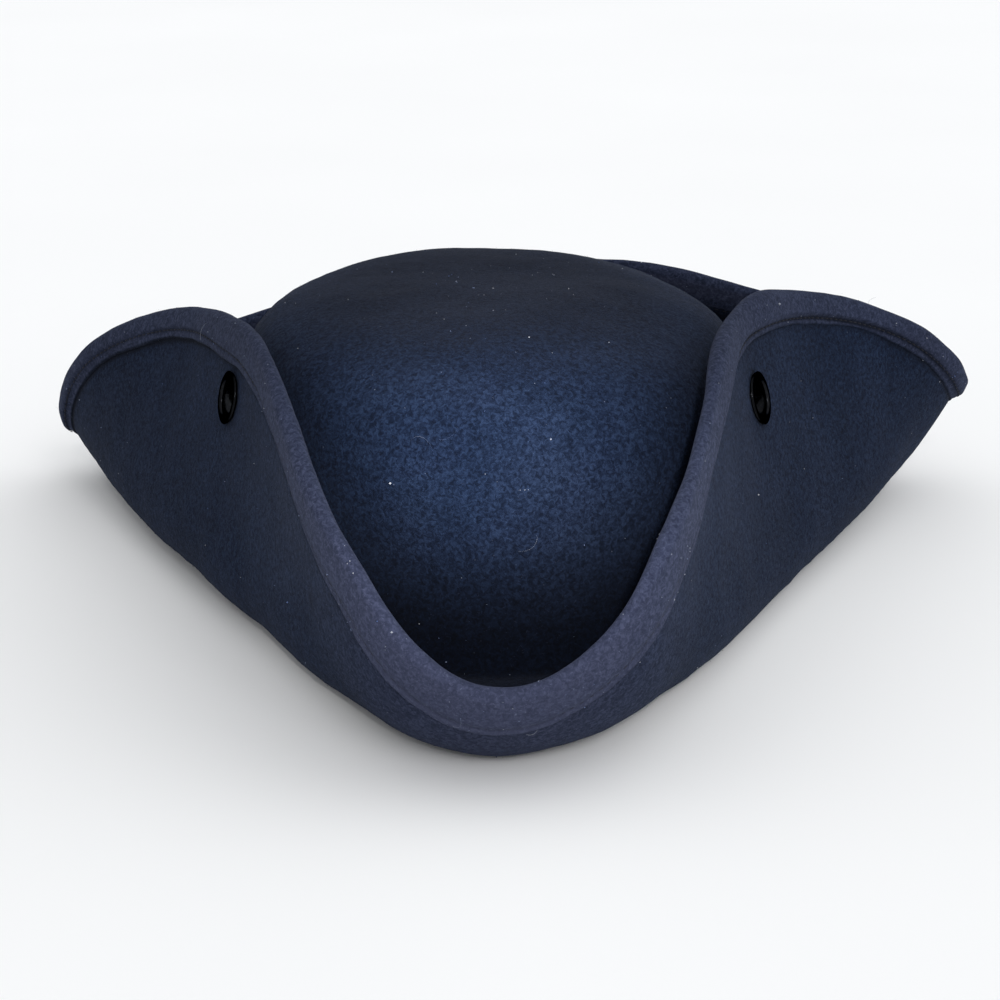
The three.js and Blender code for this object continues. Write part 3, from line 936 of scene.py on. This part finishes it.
def build_nap(rings, normals, material):
    draw = np.random.default_rng(21)
    rows, around = rings.shape[:2]
    step_down = np.linalg.norm(np.diff(rings, axis=0), axis=-1)
    step_round = np.linalg.norm(np.roll(rings, -1, axis=1) - rings, axis=-1)[:-1]
    weight = (step_down * step_round).ravel()
    chosen = draw.choice(weight.size, FIBRES, p=weight / weight.sum())
    r, k = chosen // around, chosen % around
    u, v = draw.random((2, FIBRES, 1))
    corner = lambda grid, dr, dk: grid[r + dr, (k + dk) % around]
    mixed = lambda grid: ((1 - u) * (1 - v) * corner(grid, 0, 0) + u * (1 - v) * corner(grid, 1, 0)
                          + (1 - u) * v * corner(grid, 0, 1) + u * v * corner(grid, 1, 1))
    root, up = mixed(rings), unit(mixed(normals))
    lean = unit(np.cross(up, draw.normal(size=(FIBRES, 3))))
    twist = unit(np.cross(up, lean))
    length = draw.gamma(FIBRE_LENGTH_SHAPE, FIBRE_LENGTH_SCALE, (FIBRES, 1))
    length = length.clip(FIBRE_SHORTEST, FIBRE_LONGEST)
    rise = draw.uniform(0.15, 0.75, (FIBRES, 1))
    sway = draw.normal(0, 0.35, (FIBRES, 1))
    root = root - up * FIBRE_ROOT_DEPTH
    middle = root + length * (0.55 * lean + 0.55 * rise * up)
    tip = root + length * (0.95 * lean + sway * twist + 0.75 * rise * up)
    half = FIBRE_WIDTH / 2
    left, right = -twist * half, twist * half
    points = np.stack([root + left, root + right, middle + left, middle + right, tip], 1)
    start = np.arange(FIBRES)[:, None] * 5
    quads = (start + np.array([0, 1, 3, 2])).tolist()
    tips = (start + np.array([2, 3, 4])).tolist()
    points = points.reshape(-1, 3)
    points[:, 2] = np.maximum(points[:, 2], FIBRE_OFF_FLOOR)
    on_body(mesh_object("nap_fibres", points, quads + tips, material), "felt")


# Lint: specks and a few stray hairs caught in the nap

SPECKS = 900
SPECK_SIZE_SHAPE = 4.0
SPECK_SIZE_SCALE = 0.000031
STRAYS = 22
STRAY_LENGTHS = (0.003, 0.009)
STRAY_CURL = 1.6
STRAY_STEPS = 9
STRAY_THICK = 0.00004
STRAY_RISE = 0.0010
STRAY_CLEAR = 0.00025
# Share of the rings, from the crown's top on, that lint falls on
OUTSIDE_SHARE = 0.86


def build_lint(rings, normals, material):
    draw = np.random.default_rng(33)
    rows, around = rings.shape[:2]
    outside = int(rows * OUTSIDE_SHARE)
    points, faces = [], []
    blob = unit(np.array([(1, 0, 0), (-1, 0, 0), (0, 1, 0), (0, -1, 0), (0, 0, 1), (0, 0, -1)], float))
    blob_faces = [(0, 2, 4), (2, 1, 4), (1, 3, 4), (3, 0, 4), (2, 0, 5), (1, 2, 5), (3, 1, 5), (0, 3, 5)]
    for _ in range(SPECKS):
        r, k = draw.integers(2, outside), draw.integers(0, around)
        size = draw.gamma(SPECK_SIZE_SHAPE, SPECK_SIZE_SCALE)
        shape = blob * draw.uniform(0.6, 1.5, 3) * size
        start = len(points)
        points += (shape + rings[r, k] + normals[r, k] * 0.5 * size).tolist()
        faces += [[start + i for i in face] for face in blob_faces]
    for _ in range(STRAYS):
        r, k = draw.integers(20, outside), draw.integers(0, around)
        up = normals[r, k]
        way = unit(np.cross(up, draw.normal(size=3)))
        side = np.cross(up, way)
        length, curl = draw.uniform(*STRAY_LENGTHS), draw.uniform(-STRAY_CURL, STRAY_CURL)
        shares = np.linspace(0, 1, STRAY_STEPS)
        forward, aside = shares * np.cos(curl * shares), shares * np.sin(curl * shares)
        spine = rings[r, k] + length * (np.outer(forward, way) + np.outer(aside, side))
        lift = STRAY_CLEAR + STRAY_RISE * np.sin(math.pi * shares) * draw.uniform(0.2, 1)
        spine = spine + np.outer(lift, up)
        start = len(points)
        for p in spine:
            points += [(p + STRAY_THICK * way_out).tolist() for way_out in (-0.75 * up, side, up)]
        for i in range(len(shares) - 1):
            for j in range(3):
                a, b = start + 3 * i + j, start + 3 * i + (j + 1) % 3
                faces.append([a, b, b + 3, a + 3])
    points = np.array(points)
    points[:, 2] = np.maximum(points[:, 2], FIBRE_OFF_FLOOR)
    on_body(mesh_object("lint", points, faces, material, smooth=False), "felt")


# Stage: floor, light and camera

FLOOR_HALF = 6.0


def build_floor(material):
    points = FLOOR_HALF * np.array([(-1, -1, 0), (1, -1, 0), (1, 1, 0), (-1, 1, 0)])
    floor = mesh_object("floor", points, [[0, 1, 2, 3]], material, smooth=False)
    floor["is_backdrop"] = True


# Suns: name, azimuth, elevation, strength, angle, colour
SUNS = [("front_light", 25, 34, 0.50, 22, (1.0, 0.99, 1.0)), ("glint_light", 4, 36, 0.25, 6, (1.0, 1.0, 1.0))]
# A narrow lamp lights the crown's front
LAMP_PLACE = (0.03, -0.85, 0.46)
LAMP_AIM = (-0.0045, -0.068, 0.0640)
LAMP_CONE = 6.9
LAMP_POWER = 195
LAMP_SIZE = 0.05
LAMP_COLOUR = (1.0, 0.98, 0.97)
# The studio is a little brighter towards the hat's right
WORLD_COLOUR = (0.97, 0.985, 1.0)
WORLD_STRENGTH = 0.95
WORLD_TO_RIGHT = 0.40


def add_light(name, kind, energy, colour, back, place=(0, 0, 0)):
    """A light, with back as the way from what it lights to the light itself."""
    light = bpy.data.lights.new(name, kind)
    light.energy = energy
    light.color = colour
    holder = bpy.data.objects.new(name, light)
    holder.location = place
    holder.rotation_euler = back.to_track_quat("Z", "Y").to_euler()
    bpy.context.scene.collection.objects.link(holder)
    return light


def build_light():
    scene = bpy.context.scene
    scene.view_settings.view_transform = "Standard"
    world = bpy.data.worlds.new("studio")
    world.use_nodes = True
    nodes, links = world.node_tree.nodes, world.node_tree.links
    nodes["Background"].inputs["Color"].default_value = (*WORLD_COLOUR, 1.0)
    split = nodes.new("ShaderNodeSeparateXYZ")
    links.new(nodes.new("ShaderNodeTexCoord").outputs["Generated"], split.inputs["Vector"])
    strength = nodes.new("ShaderNodeMath")
    strength.operation = "MULTIPLY_ADD"
    links.new(split.outputs["X"], strength.inputs[0])
    strength.inputs[1].default_value = WORLD_TO_RIGHT
    strength.inputs[2].default_value = WORLD_STRENGTH
    links.new(strength.outputs[0], nodes["Background"].inputs["Strength"])
    scene.world = world
    for name, azimuth, elevation, energy, angle, colour in SUNS:
        a, e = math.radians(azimuth), math.radians(elevation)
        back = Vector((math.sin(a) * math.cos(e), -math.cos(a) * math.cos(e), math.sin(e)))
        add_light(name, "SUN", energy, colour, back).angle = math.radians(angle)
    back = Vector(LAMP_PLACE) - Vector(LAMP_AIM)
    lamp = add_light("crown_light", "SPOT", LAMP_POWER, LAMP_COLOUR, back, LAMP_PLACE)
    lamp.spot_size = math.radians(LAMP_CONE)
    lamp.spot_blend = 1.0
    lamp.shadow_soft_size = LAMP_SIZE


def build_camera():
    elevation, roll = math.radians(CAMERA_ELEVATION), math.radians(CAMERA_ROLL)
    target = Vector(CAMERA_TARGET) + Vector(SHIFT)
    back = Vector((0, -math.cos(elevation), math.sin(elevation)))
    right = Vector((1, 0, 0))
    up = back.cross(right)
    turned_right = right * math.cos(roll) + up * math.sin(roll)
    turned_up = up * math.cos(roll) - right * math.sin(roll)
    camera = bpy.data.cameras.new("camera")
    camera.sensor_width = SENSOR
    camera.lens = SENSOR * FOCAL_PIXELS / PHOTO_PIXELS
    holder = bpy.data.objects.new("camera", camera)
    matrix = Matrix((turned_right, turned_up, back)).transposed().to_4x4()
    matrix.translation = target + back * CAMERA_DISTANCE
    holder.matrix_world = matrix
    bpy.context.scene.collection.objects.link(holder)
    bpy.context.scene.camera = holder


build_camera()
build_light()
build_floor(floor_material())
felt_rings, felt_normals = build_felt(felt_material())
thread = thread_material()
build_stitches("hem_stitches", -1, thread)
build_stitches("inner_stitches", 1, thread)
lacquer = lacquer_material()
build_eyelet("eyelet_ring_right", 1, "eyelet_right", lacquer)
build_eyelet("eyelet_ring_left", -1, "eyelet_left", lacquer)
build_nap(felt_rings, felt_normals, fibre_material())
build_lint(felt_rings, felt_normals, lint_material())

boxes = {"cad": cad_box, "visual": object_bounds()}
{name: [list(map(float, corner)) for corner in box] for name, box in boxes.items()}
